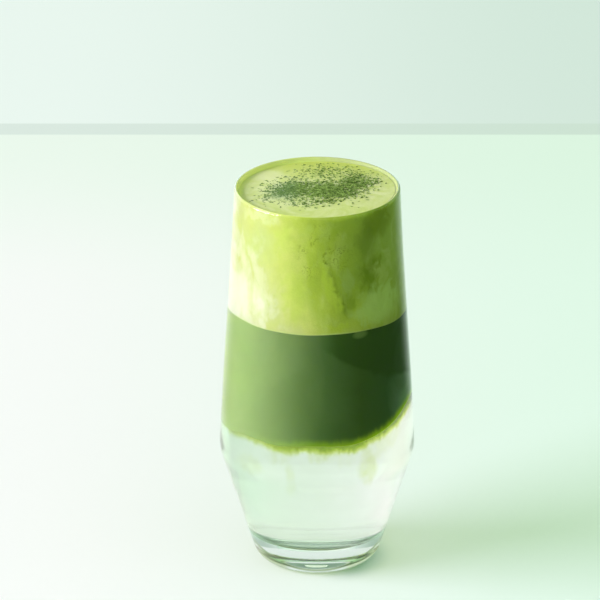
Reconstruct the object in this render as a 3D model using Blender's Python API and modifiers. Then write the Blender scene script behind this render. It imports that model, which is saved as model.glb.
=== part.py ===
# Layered iced matcha drink in its clear tumbler: a glass with a rounded belly and a tapered
# foot, filled with a pale lower layer, a dark green tea layer and a thick cap of foam that
# carries a dusting of green powder. Metres, +Z up, the front of the glass faces -Y.

import math
import random

import bmesh
import bpy
from mathutils import Euler, Vector

# Glass, outside
GLASS_HEIGHT = 0.150
RIM_RADIUS = 0.0312
BELLY_RADIUS = 0.0369  # where the straight lower wall and the upper wall would meet
BELLY_HEIGHT = 0.0454
BELLY_ROUNDING = 0.019
UPPER_WALL_BOW = 0.17  # how much gentler the upper wall leans at its two ends
FOOT_RADIUS = 0.0222  # where the lower wall would meet the table
FOOT_ROUNDING = 0.0082
PUNT_RADIUS = 0.0140  # domed hollow under the foot, inside the ring that the glass stands on
PUNT_DEPTH = 0.0035

# Glass, inside
RIM_WALL = 0.0012
BASE_WALL = 0.0022
WALL_FADE = 0.060  # height above the floor over which the wall thins to the rim's
FLOOR_HEIGHT = 0.0120
FLOOR_ROUNDING = 0.0048

# Drink
GAP = 0.0003  # clearance between pieces that touch
TEA_LINE = 0.0590  # line between the pale layer and the green tea
TEA_LINE_RISES = (  # where that line climbs or falls: angle from the front, span, height
    (math.radians(84), math.radians(66), 0.0085),
    (math.radians(-84), math.radians(45), -0.0026),
)
TEA_LINE_RIPPLE = 0.00035
TEA_LINE_WAVES = ((5, 1.0, 1.0), (9, 2.4, 0.7))  # waves round the glass, phase, share

FOAM_LINE = 0.1034  # line between the green tea and the foam
FOAM_LINE_RISES = (
    (math.radians(80), math.radians(60), -0.0012),
    (math.radians(-95), math.radians(40), -0.0012),
)
FOAM_LINE_RIPPLE = 0.00008
FOAM_LINE_WAVES = ((4, 0.5, 1.0), (11, 0.0, 0.6))
FOAM_TOP = 0.1487  # height of the foam at the wall, halfway between its high and low side
FOAM_DOME = 0.0004
FOAM_TILT = 0.0006  # how much higher the foam stands at the wall on its high side
FOAM_TILT_ANGLE = math.radians(75)  # where its high side is, from the front

# Powder on the foam: (x, y, spread along x, spread along y, share of the clumps)
POWDER_LOBES = (
    (-0.0098, 0.0008, 0.0043, 0.0048, 0.30),
    (0.0014, -0.0004, 0.0034, 0.0042, 0.21),
    (0.0086, -0.0026, 0.0040, 0.0042, 0.15),
    (0.0150, 0.0074, 0.0038, 0.0044, 0.14),
    (0.0010, 0.0180, 0.0062, 0.0048, 0.08),
    (-0.0158, -0.0058, 0.0030, 0.0030, 0.06),
    (-0.0035, -0.0122, 0.0068, 0.0026, 0.06),
)
POWDER_REACH = 0.0275  # no clump lies further from the centre
POWDER_SEED = 23
CLUMP_COUNT = 90
CLUMP_LARGEST = 0.00062
CLUMP_SMALLEST = 0.00038
CLUMP_FLATNESS = 0.75
CLUMP_SINK = 0.25  # share of a clump's radius by which its centre lies in the foam

# Colours and refraction
GLASS_COLOUR = (0.94, 0.98, 0.95)
PALE_COLOUR = (0.80, 0.92, 0.80)
TEA_COLOUR = (0.09, 0.19, 0.04)
FOAM_COLOUR = (0.55, 0.68, 0.22)
GLASS_REFRACTION = 1.5
DRINK_REFRACTION = 1.34

# Fineness of the turned shapes
TURN_STEPS = 60
RIM_SEGMENTS = 4
UPPER_WALL_SEGMENTS = 7
BELLY_SEGMENTS = 5
LOWER_WALL_SEGMENTS = 3
FOOT_SEGMENTS = 6
PUNT_SEGMENTS = 5
FLOOR_SEGMENTS = 5
LAYER_SEGMENTS = 9
LAYER_RINGS = (0.97, 0.88, 0.74, 0.56, 0.34)  # shares of the radius, from the wall inwards
CREASE_ANGLE = math.radians(40)


def clear_scene():
    for item in list(bpy.data.objects):
        bpy.data.objects.remove(item)


def new_collection(name):
    group = bpy.data.collections.new(name)
    bpy.context.scene.collection.children.link(group)
    return group


def finish_of(name, colour, roughness, transmission=0.0, refraction=DRINK_REFRACTION):
    finish = bpy.data.materials.new(name)
    finish.use_nodes = True
    shader = finish.node_tree.nodes["Principled BSDF"]
    shader.inputs["Base Color"].default_value = (*colour, 1.0)
    shader.inputs["Roughness"].default_value = roughness
    shader.inputs["Metallic"].default_value = 0.0
    shader.inputs["Transmission Weight"].default_value = transmission
    shader.inputs["IOR"].default_value = refraction
    return finish


# Shape of the glass

LOWER_LEAN = math.atan2(BELLY_RADIUS - FOOT_RADIUS, BELLY_HEIGHT)
UPPER_SLOPE = (BELLY_RADIUS - RIM_RADIUS) / (GLASS_HEIGHT - BELLY_HEIGHT)
UPPER_LEAN = math.atan(UPPER_SLOPE * (1 - UPPER_WALL_BOW))
RIM_ROUND = RIM_WALL / 2
RIM_CENTRE_HEIGHT = GLASS_HEIGHT - RIM_ROUND


def upper_wall_radius(z):
    climb = (z - BELLY_HEIGHT) / (GLASS_HEIGHT - BELLY_HEIGHT)
    bow = UPPER_WALL_BOW * math.sin(2 * math.pi * climb) / (2 * math.pi)
    return BELLY_RADIUS - (BELLY_RADIUS - RIM_RADIUS) * (climb - bow)


def lower_wall_radius(z):
    return FOOT_RADIUS + (BELLY_RADIUS - FOOT_RADIUS) * z / BELLY_HEIGHT


def arc(centre, radius, start, end, segments):
    """Points (r, z) along an arc, from angle start to angle end."""
    turn = (end - start) / segments
    return [
        (
            centre[0] + radius * math.cos(start + turn * i),
            centre[1] + radius * math.sin(start + turn * i),
        )
        for i in range(segments + 1)
    ]


def belly_arc(segments):
    """The rounded belly, from its upper tangent point down to its lower one."""
    half_turn = (LOWER_LEAN + UPPER_LEAN) / 2
    middle = (UPPER_LEAN - LOWER_LEAN) / 2
    reach = BELLY_ROUNDING / math.cos(half_turn)
    centre = (
        BELLY_RADIUS - reach * math.cos(middle),
        BELLY_HEIGHT - reach * math.sin(middle),
    )
    return arc(centre, BELLY_ROUNDING, UPPER_LEAN, -LOWER_LEAN, segments)


def corner_arc(corner_radius, floor, rounding, segments):
    """The rounding between the leaning lower wall and a level floor, from the wall down."""
    tangent = rounding * math.tan((math.pi / 2 - LOWER_LEAN) / 2)
    centre = (corner_radius - tangent, floor + rounding)
    return arc(centre, rounding, -LOWER_LEAN, -math.pi / 2, segments)


def heights(top, bottom, count):
    return [top + (bottom - top) * i / count for i in range(count + 1)]


def outer_side():
    """The outside of the glass, from under the rim down to the flat of the foot."""
    belly = belly_arc(BELLY_SEGMENTS)
    foot = corner_arc(FOOT_RADIUS, 0.0, FOOT_ROUNDING, FOOT_SEGMENTS)
    upper = heights(RIM_CENTRE_HEIGHT, belly[0][1], UPPER_WALL_SEGMENTS)
    lower = heights(belly[-1][1], foot[0][1], LOWER_WALL_SEGMENTS)
    upper_wall = [(upper_wall_radius(z), z) for z in upper[:-1]]
    lower_wall = [(lower_wall_radius(z), z) for z in lower[1:-1]]
    return upper_wall + belly + lower_wall + foot


def radius_at(side, z):
    """Radius of a side, given as points from top to bottom, at height z."""
    for (r_high, z_high), (r_low, z_low) in zip(side, side[1:]):
        if z_low <= z <= z_high:
            return r_low + (r_high - r_low) * (z - z_low) / (z_high - z_low)
    raise ValueError("height outside the side")


def wall_thickness(z):
    near_floor = max(0.0, 1 - (z - FLOOR_HEIGHT) / WALL_FADE)
    return RIM_WALL + (BASE_WALL - RIM_WALL) * near_floor**2


def inner_corner_radius():
    return lower_wall_radius(FLOOR_HEIGHT) - BASE_WALL / math.cos(LOWER_LEAN)


def inner_corner():
    """The rounding between the inner wall and the floor of the glass, from the wall down."""
    return corner_arc(inner_corner_radius(), FLOOR_HEIGHT, FLOOR_ROUNDING, FLOOR_SEGMENTS)


def inner_side():
    """The inside of the glass, from under the rim down to the flat of its floor."""
    corner = inner_corner()
    lowest = corner[0][1] + FLOOR_ROUNDING / 2
    wall = [(r - wall_thickness(z), z) for r, z in outer_side() if z > lowest]
    return wall + corner


def glass_profile():
    rim_centre = (RIM_RADIUS - RIM_ROUND, RIM_CENTRE_HEIGHT)
    rim = arc(rim_centre, RIM_ROUND, math.pi, 0.0, RIM_SEGMENTS)
    dome = [(r, z * PUNT_DEPTH / PUNT_RADIUS) for r, z in
            arc((0.0, 0.0), PUNT_RADIUS, 0.0, math.pi / 2, PUNT_SEGMENTS)]
    inside = [(0.0, FLOOR_HEIGHT)] + inner_side()[::-1]
    return inside[:-1] + rim + outer_side()[1:] + dome[:-1] + [(0.0, PUNT_DEPTH)]


# Lines between the layers

def raised_cosine(angle, centre, span):
    off = abs((angle - centre + math.pi) % (2 * math.pi) - math.pi)
    return 0.5 * (1 + math.cos(math.pi * off / span)) if off < span else 0.0


def ripple(angle, waves):
    return sum(part * math.sin(count * angle + phase) for count, phase, part in waves)


def line_rise(rises, ripple_height, waves, angle, share):
    """How far a line lies above its base height, by angle from the front and share of the radius."""
    rise = sum(lift * raised_cosine(angle, at, span) for at, span, lift in rises)
    return rise * share**2 + ripple_height * ripple(angle, waves) * share


def tea_line_rise(angle, share):
    return line_rise(TEA_LINE_RISES, TEA_LINE_RIPPLE, TEA_LINE_WAVES, angle, share)


def foam_line_rise(angle, share):
    return line_rise(FOAM_LINE_RISES, FOAM_LINE_RIPPLE, FOAM_LINE_WAVES, angle, share)


def foam_top_rise(angle, share):
    """How far the domed and slightly tilted top of the foam lies above FOAM_TOP."""
    reach = share * fill_radius(FOAM_TOP) / RIM_RADIUS
    return FOAM_DOME * (1 - reach**2) + FOAM_TILT * reach * math.cos(angle - FOAM_TILT_ANGLE)


def level(angle, share):
    return 0.0


# Building

def turned(name, profile, group, finish):
    """A piece turned about +Z from a profile that runs down its outer side."""
    outline = bmesh.new()
    points = [outline.verts.new((r, 0.0, z)) for r, z in profile]
    for start, end in zip(points, points[1:]):
        outline.edges.new((start, end))
    mesh = bpy.data.meshes.new(name)
    outline.to_mesh(mesh)
    outline.free()
    piece = bpy.data.objects.new(name, mesh)
    piece.data.materials.append(finish)
    group.objects.link(piece)
    lathe = piece.modifiers.new("Lathe", "SCREW")
    lathe.axis = "Z"
    lathe.angle = 2 * math.pi
    lathe.steps = TURN_STEPS
    lathe.render_steps = TURN_STEPS
    lathe.use_merge_vertices = True
    lathe.merge_threshold = 0.000001
    return piece


def apply_modifiers(piece):
    scene_state = bpy.context.evaluated_depsgraph_get()
    baked = bpy.data.meshes.new_from_object(piece.evaluated_get(scene_state))
    piece.modifiers.clear()
    piece.data = baked


def smooth_shading(piece):
    piece.data.shade_smooth()
    piece.data.set_sharp_from_angle(angle=CREASE_ANGLE)


def fill_radius(z):
    return radius_at(inner_side(), z) - GAP


def layer(name, top, bottom, top_rise, bottom_rise, group, finish):
    """A level layer turned to fit the glass, whose ends then take the rise of their lines."""
    wall = [(fill_radius(z), z) for z in heights(top, bottom, LAYER_SEGMENTS)]
    cap = [(share * wall[0][0], top) for share in LAYER_RINGS[::-1]]
    base = [(share * wall[-1][0], bottom) for share in LAYER_RINGS]
    piece = turned(name, [(0.0, top)] + cap + wall + base + [(0.0, bottom)], group, finish)
    apply_modifiers(piece)
    for vertex in piece.data.vertices:
        shape_to_lines(vertex.co, top, bottom, top_rise, bottom_rise)
    smooth_shading(piece)
    return piece


def shape_to_lines(point, top, bottom, top_rise, bottom_rise):
    """Moves a point up or down with the lines above and below it, and keeps it off the wall."""
    radius = math.hypot(point.x, point.y)
    angle = math.atan2(point.x, -point.y)
    share = radius / fill_radius(point.z)
    climb = (point.z - bottom) / (top - bottom)
    lift = climb * top_rise(angle, share) + (1 - climb) * bottom_rise(angle, share)
    if radius > 0:
        stretch = share * fill_radius(point.z + lift) / radius
        point.x *= stretch
        point.y *= stretch
    point.z += lift


def pale_layer(group):
    """The pale drink on the floor of the glass, up to the wandering tea line."""
    finish = finish_of("pale_drink", PALE_COLOUR, 0.05, transmission=1.0)
    top = TEA_LINE - GAP / 2
    corner = [(r - GAP, z + GAP) for r, z in inner_corner()]
    corner_top = corner[0][1]
    wall = [(fill_radius(z), z) for z in heights(top, corner_top, LAYER_SEGMENTS)]
    cap = [(share * wall[0][0], top) for share in LAYER_RINGS[::-1]]
    floor = [(0.0, FLOOR_HEIGHT + GAP)]
    piece = turned("pale_layer", [(0.0, top)] + cap + wall[:-1] + corner + floor, group, finish)
    apply_modifiers(piece)
    for vertex in piece.data.vertices:
        if vertex.co.z > corner_top:
            shape_to_lines(vertex.co, top, corner_top, tea_line_rise, level)
    smooth_shading(piece)
    return piece


def tea_layer(group):
    """The dark green tea between the pale layer and the foam."""
    finish = finish_of("green_tea", TEA_COLOUR, 0.35)
    top = FOAM_LINE - GAP / 2
    bottom = TEA_LINE + GAP / 2
    return layer("tea_layer", top, bottom, foam_line_rise, tea_line_rise, group, finish)


def foam_layer(group):
    """The foam cap, slightly domed and tilted, with the largest clumps of powder fused on top."""
    finish = finish_of("matcha_foam", FOAM_COLOUR, 0.60)
    bottom = FOAM_LINE + GAP / 2
    foam = layer("foam_layer", FOAM_TOP, bottom, foam_top_rise, foam_line_rise, group, finish)
    clumps = new_collection("powder_clumps")
    for number, clump in enumerate(powder_clumps()):
        clumps.objects.link(clump_piece(number, *clump))
    join = foam.modifiers.new("Powder", "BOOLEAN")
    join.operation = "UNION"
    join.operand_type = "COLLECTION"
    join.collection = clumps
    join.solver = "EXACT"
    apply_modifiers(foam)
    for clump in list(clumps.objects):
        bpy.data.objects.remove(clump)
    bpy.data.collections.remove(clumps)
    smooth_shading(foam)
    return foam


def powder_clumps():
    """Centre, size and turn of each clump, the largest first, spread over the powder's lobes."""
    draw = random.Random(POWDER_SEED)
    shares = [share for *_, share in POWDER_LOBES]
    found = []
    while len(found) < CLUMP_COUNT:
        x, y, spread_x, spread_y, _ = draw.choices(POWDER_LOBES, shares)[0]
        place = Vector((draw.gauss(x, spread_x), draw.gauss(y, spread_y)))
        turn = Euler([draw.uniform(0, math.pi) for _ in range(3)])
        size = CLUMP_LARGEST + (CLUMP_SMALLEST - CLUMP_LARGEST) * len(found) / CLUMP_COUNT
        if place.length < POWDER_REACH:
            found.append((place, size, turn))
    return found


def clump_piece(number, place, size, turn):
    grain = bmesh.new()
    bmesh.ops.create_icosphere(grain, subdivisions=1, radius=size)
    bmesh.ops.rotate(grain, verts=grain.verts, matrix=turn.to_matrix())
    bmesh.ops.scale(grain, verts=grain.verts, vec=(1.0, 1.0, CLUMP_FLATNESS))
    angle = math.atan2(place.x, -place.y)
    height = FOAM_TOP + foam_top_rise(angle, place.length / fill_radius(FOAM_TOP)) - CLUMP_SINK * size
    bmesh.ops.translate(grain, verts=grain.verts, vec=(place.x, place.y, height))
    mesh = bpy.data.meshes.new(f"clump_{number:02d}")
    grain.to_mesh(mesh)
    grain.free()
    return bpy.data.objects.new(mesh.name, mesh)


def glass(group):
    """The tumbler: one wall from the thick base to the rounded rim."""
    finish = finish_of("clear_glass", GLASS_COLOUR, 0.02, 1.0, GLASS_REFRACTION)
    piece = turned("glass", glass_profile(), group, finish)
    apply_modifiers(piece)
    smooth_shading(piece)
    return piece


def main():
    clear_scene()
    drink = new_collection("iced_matcha_drink")
    glass(drink)
    pale_layer(drink)
    tea_layer(drink)
    foam_layer(drink)


main()
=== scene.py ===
import math
import random

import bmesh
import bpy
from mathutils import Euler, Matrix, Vector, noise


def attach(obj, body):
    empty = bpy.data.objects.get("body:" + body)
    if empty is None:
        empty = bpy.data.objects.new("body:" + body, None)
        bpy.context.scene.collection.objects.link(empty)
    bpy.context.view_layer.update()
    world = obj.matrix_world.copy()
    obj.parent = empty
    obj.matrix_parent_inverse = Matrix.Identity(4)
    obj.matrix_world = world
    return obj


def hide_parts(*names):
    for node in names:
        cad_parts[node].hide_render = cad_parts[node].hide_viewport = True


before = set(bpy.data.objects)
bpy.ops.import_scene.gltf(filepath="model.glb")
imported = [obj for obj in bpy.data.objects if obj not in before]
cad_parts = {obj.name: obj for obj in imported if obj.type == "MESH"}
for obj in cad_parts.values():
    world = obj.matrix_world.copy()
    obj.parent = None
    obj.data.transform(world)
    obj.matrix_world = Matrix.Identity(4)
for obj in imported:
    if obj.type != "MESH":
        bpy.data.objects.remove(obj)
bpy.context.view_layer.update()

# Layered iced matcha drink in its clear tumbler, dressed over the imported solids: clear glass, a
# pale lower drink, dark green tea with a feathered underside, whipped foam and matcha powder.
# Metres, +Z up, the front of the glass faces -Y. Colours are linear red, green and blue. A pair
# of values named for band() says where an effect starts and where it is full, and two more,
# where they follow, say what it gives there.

scene = bpy.context.scene

# Glass, outside and inside, as the solids have it
GLASS_HEIGHT = 0.150
RIM_RADIUS = 0.0312
BELLY_RADIUS = 0.0369
BELLY_HEIGHT = 0.0454
BELLY_ROUNDING = 0.019
UPPER_WALL_BOW = 0.17
FOOT_RADIUS = 0.0222
FOOT_ROUNDING = 0.0082
PUNT_RADIUS = 0.0140
PUNT_DEPTH = 0.0035
RIM_WALL = 0.0012
BASE_WALL = 0.0022
WALL_FADE = 0.060  # the height over which the wall thins from the base upward
FLOOR_HEIGHT = 0.0120
FLOOR_ROUNDING = 0.0048
RIM_ROUND = RIM_WALL / 2
RIM_CENTRE_HEIGHT = GLASS_HEIGHT - RIM_ROUND
LOWER_SLOPE = (BELLY_RADIUS - FOOT_RADIUS) / BELLY_HEIGHT
LOWER_LEAN = math.atan(LOWER_SLOPE)
UPPER_SLOPE = (BELLY_RADIUS - RIM_RADIUS) / (GLASS_HEIGHT - BELLY_HEIGHT)
UPPER_LEAN = math.atan(UPPER_SLOPE * (1 - UPPER_WALL_BOW))
OUTER_SEGMENTS = 14  # of the belly, the foot and the hollow under it
INNER_SEGMENTS = 12  # of the rim and the inner corner
UPPER_ROWS = 32
LOWER_ROWS = 8
CORNER_MARGIN = 0.0008  # how far the inner wall's lowest row stays above the inner corner

# Drink
LAYER_OVERLAP = 0.00003  # how far the pale drink reaches into the tea
TEA_OVERLAP = 0.0004  # how far the tea reaches into the foam
TEA_INSET = 0.9997  # the tea is this much narrower, so that no two sides share a surface
WALL_REACH = 0.00008  # how far the drink reaches into the wall, so that no air shows between
TEA_LINE = 0.0590
TEA_LINE_RISES = (  # where the line climbs or falls: angle from the front, span, height
    (math.radians(84), math.radians(66), 0.0085),
    (math.radians(-84), math.radians(45), -0.0026),
)
TEA_LINE_RIPPLE = 0.00035
TEA_LINE_WAVES = ((5, 1.0, 1.0), (9, 2.4, 0.7))
FOAM_LINE = 0.1034
FOAM_LINE_RISES = (
    (math.radians(80), math.radians(60), -0.0012),
    (math.radians(-95), math.radians(40), -0.0012),
)
FOAM_LINE_RIPPLE = 0.00008
FOAM_LINE_WAVES = ((4, 0.5, 1.0), (11, 0.0, 0.6))
FOAM_TOP = 0.1487
FOAM_DOME = 0.0004
FOAM_TILT = 0.0006  # how much higher the foam stands at the wall on its high side
FOAM_TILT_ANGLE = math.radians(75)
FOAM_SWELLS = ((90, 0.00010), (260, 0.00005))  # how fine and how high the surface swells
SWELL_END = 0.97  # the share of the radius where the swells end
SWELL_FADE = 10
FILM_FOOT = 0.0009  # where the film that climbs the wall starts, from the wall
FILM_SKIN = 0.00012  # how thick it lies over the inner half of the rim
FILM_END = math.radians(100)
FILM_STEPS = 8
FILM_CLIMB = 2.2  # the film's curve, low at first
FILM_LEAN = 0.7  # and out to the wall early
FILM_SEGMENTS = 6

# Powder on the foam: (x, y, spread along x, spread along y, share)
POWDER_LOBES = (
    (-0.0098, 0.0008, 0.0043, 0.0048, 0.30),
    (0.0014, -0.0004, 0.0034, 0.0042, 0.21),
    (0.0086, -0.0026, 0.0040, 0.0042, 0.15),
    (0.0150, 0.0074, 0.0038, 0.0044, 0.14),
    (0.0010, 0.0180, 0.0062, 0.0048, 0.08),
    (-0.0158, -0.0058, 0.0030, 0.0030, 0.06),
    (-0.0035, -0.0122, 0.0068, 0.0026, 0.06),
)
POWDER_REACH = 0.0275
POWDER_SEED = 23
CLUMP_COUNT = 90
CLUMP_LARGEST = 0.00062
CLUMP_SMALLEST = 0.00038
CLUMP_FORM = {"flatness": 0.75, "sink": 0.25, "rough": 0.25, "stretch": 1.3}
GRAIN_SEED = 7
GRAIN_COUNT = 3400
GRAIN_LARGEST = 0.00026
GRAIN_SMALLEST = 0.00010
GRAIN_FORM = {"flatness": 0.8, "sink": -0.2, "rough": 0.35, "stretch": 3.2}
GRAIN_BATCH = 260
DUST_AREA = 7.9e-5  # a lobe's share over its area, times this, is how densely dust covers it
DUST_SPREAD = 1.15  # how much wider than its grains a lobe's dust lies

# Fringe under the tea, and the wisps below it
FRINGE_INSET = 0.0002
FRINGE_THICKNESS = 0.0006
FRINGE_OVERLAP = 0.0006
FRINGE_STEPS = 288
WISP_DEPTH = 0.028
WISPS = (  # x, half width, depth of the middle, half height, strength
    (0.0187, 0.0042, 0.0110, 0.0105, 0.16),
    (0.0010, 0.0050, 0.0045, 0.0048, 0.13),
    (-0.0100, 0.0022, 0.0150, 0.0090, 0.06),
    (-0.0250, 0.0060, 0.0125, 0.0050, 0.06),
    (-0.0150, 0.0060, 0.0060, 0.0040, 0.05),
    (0.0250, 0.0060, 0.0060, 0.0060, 0.08),
    (0.0110, 0.0080, 0.0060, 0.0050, 0.05),
)
TEA_TINT = (1.0, 0.70, 4.0)  # how strongly thinned tea holds back red, green and blue
TEA_STRONGEST = 2.0

# How finely the drink's layers are made
TURN_STEPS = 144
MERGE_DISTANCE = 1e-7
PALE_ROWS = 40
TEA_ROWS = 36
FOAM_ROWS = 44
FRINGE_ROWS = 48
RINGS = (1.0, 0.993, 0.985, 0.975, 0.96, 0.94, 0.90, 0.84, 0.75, 0.65, 0.54, 0.42, 0.30, 0.18, 0.08)


# The form of the glass

def upper_wall_radius(z):
    climb = (z - BELLY_HEIGHT) / (GLASS_HEIGHT - BELLY_HEIGHT)
    bow = UPPER_WALL_BOW * math.sin(2 * math.pi * climb) / (2 * math.pi)
    return BELLY_RADIUS - (BELLY_RADIUS - RIM_RADIUS) * (climb - bow)


def lower_wall_radius(z):
    return FOOT_RADIUS + (BELLY_RADIUS - FOOT_RADIUS) * z / BELLY_HEIGHT


def arc(centre, radius, start, end, segments):
    turn = (end - start) / segments
    return [
        (
            centre[0] + radius * math.cos(start + turn * i),
            centre[1] + radius * math.sin(start + turn * i),
        )
        for i in range(segments + 1)
    ]


def belly_arc():
    half_turn = (LOWER_LEAN + UPPER_LEAN) / 2
    middle = (UPPER_LEAN - LOWER_LEAN) / 2
    reach = BELLY_ROUNDING / math.cos(half_turn)
    centre = (BELLY_RADIUS - reach * math.cos(middle), BELLY_HEIGHT - reach * math.sin(middle))
    return arc(centre, BELLY_ROUNDING, UPPER_LEAN, -LOWER_LEAN, OUTER_SEGMENTS)


def corner_arc(corner_radius, floor, rounding, segments, out=0.0):
    """The rounding between the lower wall and a level floor, from the wall down, pushed out."""
    tangent = rounding * math.tan((math.pi / 2 - LOWER_LEAN) / 2)
    centre = (corner_radius - tangent, floor + rounding)
    return arc(centre, rounding + out, -LOWER_LEAN, -math.pi / 2, segments)


def heights(top, bottom, count):
    return [top + (bottom - top) * i / count for i in range(count + 1)]


def wall_thickness(z):
    near_floor = max(0.0, 1 - (z - FLOOR_HEIGHT) / WALL_FADE)
    return RIM_WALL + (BASE_WALL - RIM_WALL) * near_floor**2


def inner_corner(out=0.0):
    corner_radius = lower_wall_radius(FLOOR_HEIGHT) - BASE_WALL / math.cos(LOWER_LEAN)
    return corner_arc(corner_radius, FLOOR_HEIGHT, FLOOR_ROUNDING, INNER_SEGMENTS, out)


def make_outer_side():
    belly = belly_arc()
    foot = corner_arc(FOOT_RADIUS, 0.0, FOOT_ROUNDING, OUTER_SEGMENTS)
    upper_heights = heights(RIM_CENTRE_HEIGHT, belly[0][1], UPPER_ROWS)
    lower_heights = heights(belly[-1][1], foot[0][1], LOWER_ROWS)
    upper = [(upper_wall_radius(z), z) for z in upper_heights]
    lower = [(lower_wall_radius(z), z) for z in lower_heights]
    return upper[:-1] + belly + lower[1:-1] + foot


OUTER_SIDE = make_outer_side()
INNER_WALL = [
    (r - wall_thickness(z), z) for r, z in OUTER_SIDE if z > inner_corner()[0][1] + CORNER_MARGIN
]
INNER_SIDE = INNER_WALL + inner_corner()


def radius_at(side, z):
    for (r_high, z_high), (r_low, z_low) in zip(side, side[1:]):
        if z_low <= z <= z_high:
            return r_low + (r_high - r_low) * (z - z_low) / (z_high - z_low)
    raise ValueError("height outside the side")


def drink_radius(z):
    return radius_at(INNER_SIDE, z) + WALL_REACH


# The lines between the layers, by angle from the front and share of the radius

def raised_cosine(angle, centre, span):
    off = abs((angle - centre + math.pi) % (2 * math.pi) - math.pi)
    return 0.5 * (1 + math.cos(math.pi * off / span)) if off < span else 0.0


def ripple(angle, waves):
    return sum(part * math.sin(count * angle + phase) for count, phase, part in waves)


def line_rise(rises, ripple_height, waves, angle, share):
    rise = sum(lift * raised_cosine(angle, at, span) for at, span, lift in rises)
    return rise * share**2 + ripple_height * ripple(angle, waves) * share


def tea_line_rise(angle, share=1.0):
    return line_rise(TEA_LINE_RISES, TEA_LINE_RIPPLE, TEA_LINE_WAVES, angle, share)


def foam_line_rise(angle, share=1.0):
    return line_rise(FOAM_LINE_RISES, FOAM_LINE_RIPPLE, FOAM_LINE_WAVES, angle, share)


def level(angle, share):
    return 0.0


def foam_tilt(x, y):
    return FOAM_TILT * (x * math.sin(FOAM_TILT_ANGLE) - y * math.cos(FOAM_TILT_ANGLE)) / RIM_RADIUS


def foam_dome(radius):
    return FOAM_DOME * (1 - (radius / RIM_RADIUS) ** 2)


def foam_swell(point, share):
    swell = sum(height * noise.noise(point * fineness) for fineness, height in FOAM_SWELLS)
    return swell * min(max(SWELL_FADE * (SWELL_END - share), 0.0), 1.0)


def front_angle(point):
    return math.atan2(point.x, -point.y)


# Making pieces

def turned(profile, steps=TURN_STEPS):
    """A closed shape turned about +Z from its outline in the XZ plane."""
    form = bmesh.new()
    points = [form.verts.new((r, 0.0, z)) for r, z in profile]
    edges = [form.edges.new(pair) for pair in zip(points, points[1:])]
    bmesh.ops.spin(
        form, geom=points + edges, cent=(0, 0, 0), axis=(0, 0, 1), dvec=(0, 0, 0),
        angle=2 * math.pi, steps=steps, use_merge=True, use_duplicate=False,
    )
    bmesh.ops.remove_doubles(form, verts=form.verts, dist=MERGE_DISTANCE)
    bmesh.ops.recalc_face_normals(form, faces=form.faces)
    return form


def object_of(name, form, material):
    mesh = bpy.data.meshes.new(name)
    form.to_mesh(mesh)
    form.free()
    mesh.materials.append(material)
    made = bpy.data.objects.new(name, mesh)
    scene.collection.objects.link(made)
    return made


def piece(name, form, material, crease=40):
    made = object_of(name, form, material)
    made.data.shade_smooth()
    made.data.set_sharp_from_angle(angle=math.radians(crease))
    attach(made, "root")
    return made


def shape_to_lines(point, top, bottom, top_rise, bottom_rise):
    """Moves a point up or down with the lines above and below it, and keeps it on the wall."""
    radius = math.hypot(point.x, point.y)
    angle = front_angle(point)
    share = radius / drink_radius(point.z)
    climb = (point.z - bottom) / (top - bottom)
    lift = climb * top_rise(angle, share) + (1 - climb) * bottom_rise(angle, share)
    if radius > 0:
        stretch = share * drink_radius(point.z + lift) / radius
        point.x *= stretch
        point.y *= stretch
    point.z += lift


def rings_at(radius, z):
    """Points on a level surface, from the wall inward."""
    return [(share * radius, z) for share in RINGS[1:]]


# Making materials

def is_socket(value):
    return isinstance(value, bpy.types.NodeSocket)


def tree_of(values):
    return next(value.id_data for value in values if is_socket(value))


def new_material(name, **sockets):
    material = bpy.data.materials.new(name)
    material.use_nodes = True
    shader = material.node_tree.nodes["Principled BSDF"]
    for socket, value in sockets.items():
        shader.inputs[socket.replace("_", " ")].default_value = value
    return material, material.node_tree, shader


def add(tree, kind, inputs=None, **settings):
    made = tree.nodes.new(kind)
    for name, value in settings.items():
        setattr(made, name, value)
    for name, value in (inputs or {}).items():
        if is_socket(value):
            tree.links.new(value, made.inputs[name])
        else:
            made.inputs[name].default_value = value
    return made


def calc(operation, *values, clamp=False):
    """One sum on sockets and numbers, at least one of them a socket."""
    tree = tree_of(values)
    made = add(tree, "ShaderNodeMath", dict(enumerate(values)), operation=operation, use_clamp=clamp)
    return made.outputs[0]


def times(product, *factors):
    for factor in factors:
        product = calc("MULTIPLY", product, factor)
    return product


def moved(value, by, amount):
    """value + by * amount, such as a place shifted by a cloud."""
    return calc("MULTIPLY_ADD", by, amount, value)


def unsettled(value, *shifts):
    """A place that clouds shift either way: each shift is a cloud and its whole reach."""
    for cloud, reach in shifts:
        value = moved(calc("SUBTRACT", value, reach / 2), cloud, reach)
    return value


def away(value, centre):
    return calc("ABSOLUTE", calc("SUBTRACT", value, centre))


def band(value, low, high, to_low=0.0, to_high=1.0):
    """A smooth step of value from low to high."""
    values = {"Value": value, "From Min": low, "From Max": high, "To Min": to_low, "To Max": to_high}
    made = add(value.id_data, "ShaderNodeMapRange", values, interpolation_type="SMOOTHSTEP")
    return made.outputs["Result"]


def blend(factor, first, second, mode="MIX"):
    first, second = (value if is_socket(value) else (*value, 1.0) for value in (first, second))
    tree = tree_of((factor, first, second))
    values = {0: factor, 6: first, 7: second}
    return add(tree, "ShaderNodeMix", values, data_type="RGBA", blend_type=mode).outputs[2]


def ramp(value, stops):
    made = add(value.id_data, "ShaderNodeValToRGB", {"Fac": value})
    track = made.color_ramp
    while len(track.elements) < len(stops):
        track.elements.new(0.5)
    for element, (place, colour) in zip(track.elements, stops):
        element.position = place
        element.color = (*colour, 1.0)
    return made.outputs["Color"]


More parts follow.
